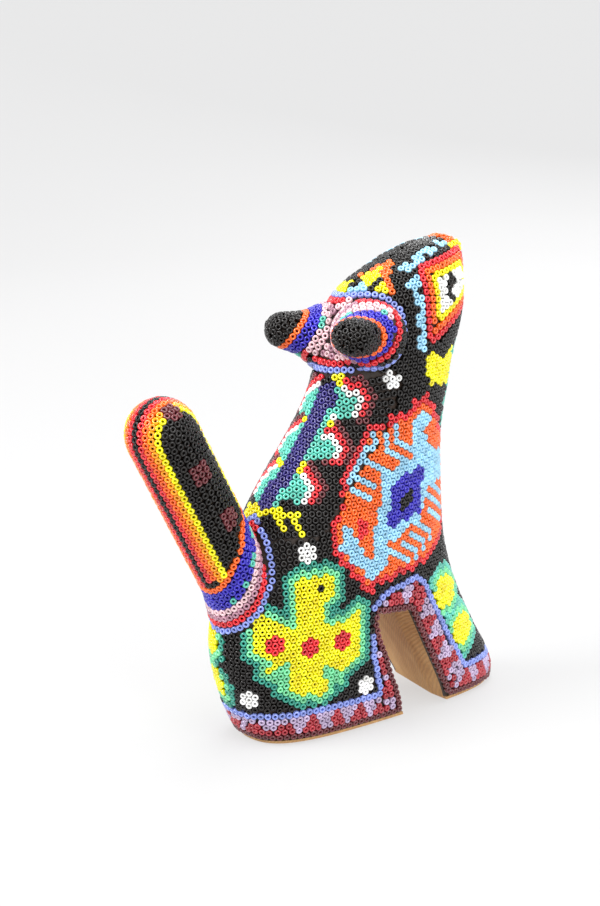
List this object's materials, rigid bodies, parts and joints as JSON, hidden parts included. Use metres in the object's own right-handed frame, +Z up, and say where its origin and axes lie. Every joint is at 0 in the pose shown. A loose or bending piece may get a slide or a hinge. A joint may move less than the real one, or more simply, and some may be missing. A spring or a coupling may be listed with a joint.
{
  "type": "huichol beaded figure",
  "caption": "Free-standing carved wooden animal with raised muzzle, upright tail and a through arch, covered in wax and coloured glass seed beads.",
  "frame": {"origin": "on the ground, in the middle of the figure's length and width", "axes": "+Z up; the animal faces -Y, its right side is -X, its tail rises towards +Y"},
  "size_m": [0.0434, 0.1323, 0.1415],
  "materials": {
    "carved_wood": "bare sawn and carved softwood, matte",
    "wax": "dark beeswax and resin, soft satin",
    "beads_mauve": "glossy opaque glass seed beads",
    "beads_black": "glossy opaque glass seed beads",
    "beads_turquoise": "glossy opaque glass seed beads",
    "beads_light_blue": "glossy opaque glass seed beads",
    "beads_yellow": "glossy opaque glass seed beads",
    "beads_green": "glossy opaque glass seed beads",
    "beads_orange": "glossy opaque glass seed beads",
    "beads_periwinkle": "glossy opaque glass seed beads",
    "beads_red": "glossy opaque glass seed beads",
    "beads_cobalt": "glossy opaque glass seed beads"
  },
  "bodies": {
    "root": {"body_core": "carved_wood", "tail_core": "carved_wood", "ear_core_left": "carved_wood", "ear_core_right": "carved_wood", "body_wax": "wax", "tail_wax": "wax", "ear_wax_left": "wax", "ear_wax_right": "wax", "hind_border_beads": "beads_mauve", "front_border_beads": "beads_mauve", "rump_beads": "beads_black", "spine_beads": "beads_turquoise", "chest_beads": "beads_light_blue", "throat_beads": "beads_yellow", "haunch_beads_right": "beads_yellow", "haunch_beads_left": "beads_yellow", "leg_beads_right": "beads_green", "leg_beads_left": "beads_green", "flank_beads_right": "beads_orange", "flank_beads_left": "beads_orange", "neck_beads_right": "beads_black", "neck_beads_left": "beads_black", "ear_band_beads": "beads_periwinkle", "eye_beads_right": "beads_red", "eye_beads_left": "beads_red", "crown_beads": "beads_black", "ear_ring_beads_right": "beads_cobalt", "ear_ring_beads_left": "beads_cobalt", "ear_tip_beads_right": "beads_black", "ear_tip_beads_left": "beads_black", "tail_collar_beads": "beads_periwinkle", "tail_band_beads": "beads_orange", "tail_side_beads": "beads_black"}
  },
  "joints": []
}
